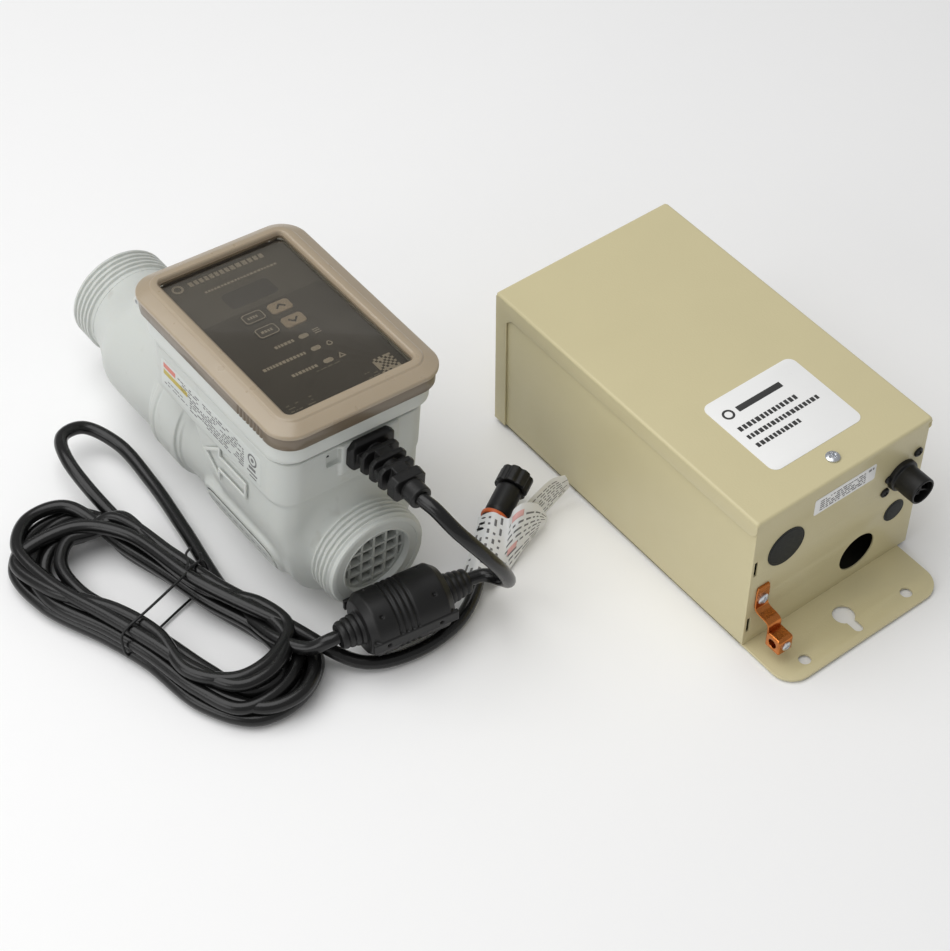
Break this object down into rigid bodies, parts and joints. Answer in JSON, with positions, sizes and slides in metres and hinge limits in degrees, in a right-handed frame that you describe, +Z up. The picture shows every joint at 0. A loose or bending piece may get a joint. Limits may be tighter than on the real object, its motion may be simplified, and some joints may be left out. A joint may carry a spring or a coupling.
{
  "type": "salt chlorine generator",
  "caption": "Pipe-mounted electrolytic cell with threaded unions, hinged smoked control cover, corded plug with ferrite, and a flanged sheet-metal power supply.",
  "frame": {"origin": "on the axis of the cell pipe, half way between its two union faces", "axes": "+Y along the pipe with the flow, +Z up from the floor, +X from the cell towards the power supply"},
  "size_m": [0.5264, 0.562, 0.1926],
  "materials": {
    "cell_plastic": "light grey moulded",
    "cover_plastic": "smoked translucent tan",
    "panel": "dark printed overlay",
    "key_dark": "dark, outlined",
    "key_tan": "tan",
    "black_plastic": "fine grain",
    "black_rubber": "cable jacket",
    "orange_rubber": "seal",
    "gasket": "sponge",
    "titanium_dark": "coated anode",
    "titanium": "bare plate",
    "steel": "zinc plated",
    "lamination": "varnished laminations",
    "copper": "copper",
    "brass": "brass",
    "case_paint": "khaki powder coat",
    "pcb": "solder resist",
    "winding": "enamelled wire",
    "ferrite": "sintered ferrite",
    "label_white": "printed label",
    "paper_tag": "coated paper",
    "display": "display glass",
    "light_pipe": "clear diffuser"
  },
  "bodies": {
    "cell": {"cell_body": "cell_plastic", "service_plate": "cell_plastic", "inlet_grid": "cell_plastic", "outlet_grid": "cell_plastic", "anode_plates": "titanium_dark", "cathode_plates": "titanium", "plate_combs": "cell_plastic", "terminal_rods": "titanium", "potting_block": "black_plastic", "temperature_probe": "steel", "flow_switch": "black_plastic", "paddle_pin": "steel", "head_gasket": "gasket", "control_housing": "cell_plastic", "housing_screws": "steel", "control_board": "pcb", "board_screws": "steel", "display_module": "display", "light_pipes": "light_pipe", "control_panel": "panel", "hinge_pins": "steel", "side_label": "label_white", "strain_relief": "black_rubber", "main_cable": "black_rubber", "ferrite_housing": "black_plastic", "ferrite_core": "ferrite", "cable_tie": "black_plastic", "plug_body": "black_plastic", "plug_contacts": "brass", "plug_seal": "orange_rubber", "cable_tag": "paper_tag"},
    "cover": {"panel_cover": "cover_plastic"},
    "setup_key": {"setup_button": "key_dark"},
    "boost_key": {"boost_button": "key_dark"},
    "up_key": {"up_button": "key_tan"},
    "down_key": {"down_button": "key_tan"},
    "paddle": {"flow_paddle": "cell_plastic"},
    "coupling_nut": {"plug_nut": "black_plastic"},
    "supply": {"back_plate": "case_paint", "case_shell": "case_paint", "hole_plugs": "black_plastic", "receptacle": "black_plastic", "receptacle_screws": "black_plastic", "rating_label": "label_white", "ground_strap": "copper", "ground_lug": "copper", "ground_screws": "steel", "transformer_core": "lamination", "transformer_winding": "winding", "transformer_feet": "steel", "transformer_bolts": "steel", "power_board": "pcb", "board_standoffs": "brass", "rectifier": "black_plastic", "terminal_block": "black_plastic", "supply_wires": "black_rubber"},
    "lug_clamp": {"lug_screw": "steel"},
    "lid": {"case_lid": "case_paint", "lid_label": "label_white"},
    "lid_fastener": {"lid_screw": "steel"}
  },
  "joints": [
    {"name": "cover_hinge", "type": "hinge", "parent": "cell", "child": "cover", "pos_m": [0.00995, 0.0365, 0.11377], "axis": [-0.9962, 0, 0.0872], "range_deg": [0, 105]},
    {"name": "setup_press", "type": "slide", "parent": "cell", "child": "setup_key", "axis": [-0.0872, 0, -0.9962], "range_m": [0, 0.0006]},
    {"name": "boost_press", "type": "slide", "parent": "cell", "child": "boost_key", "axis": [-0.0872, 0, -0.9962], "range_m": [0, 0.0006]},
    {"name": "up_press", "type": "slide", "parent": "cell", "child": "up_key", "axis": [-0.0872, 0, -0.9962], "range_m": [0, 0.0006]},
    {"name": "down_press", "type": "slide", "parent": "cell", "child": "down_key", "axis": [-0.0872, 0, -0.9962], "range_m": [0, 0.0006]},
    {"name": "paddle_swing", "type": "hinge", "parent": "cell", "child": "paddle", "pos_m": [0.00244, 0.008, 0.02789], "axis": [0.9962, 0, -0.0872], "range_deg": [0, 35]},
    {"name": "coupling_nut_turn", "type": "hinge", "parent": "cell", "child": "coupling_nut", "pos_m": [0.13423, -0.14833, -0.02721], "axis": [0.8744, 0.4649, 0.1392], "continuous": true},
    {"name": "supply_placement", "type": "slide", "parent": "cell", "child": "supply", "axis": [1, 0, 0], "range_m": [0, 0.3]},
    {"name": "lug_screw_turn", "type": "hinge", "parent": "supply", "child": "lug_clamp", "pos_m": [0.1915, -0.375, -0.0325], "axis": [0, -1, 0], "continuous": true},
    {"name": "lid_lift", "type": "slide", "parent": "supply", "child": "lid", "axis": [0, 0, 1], "range_m": [0, 0.16]},
    {"name": "lid_screw_turn", "type": "hinge", "parent": "lid", "child": "lid_fastener", "pos_m": [0.257, -0.3334, 0.0775], "axis": [0, 0, 1], "continuous": true}
  ]
}
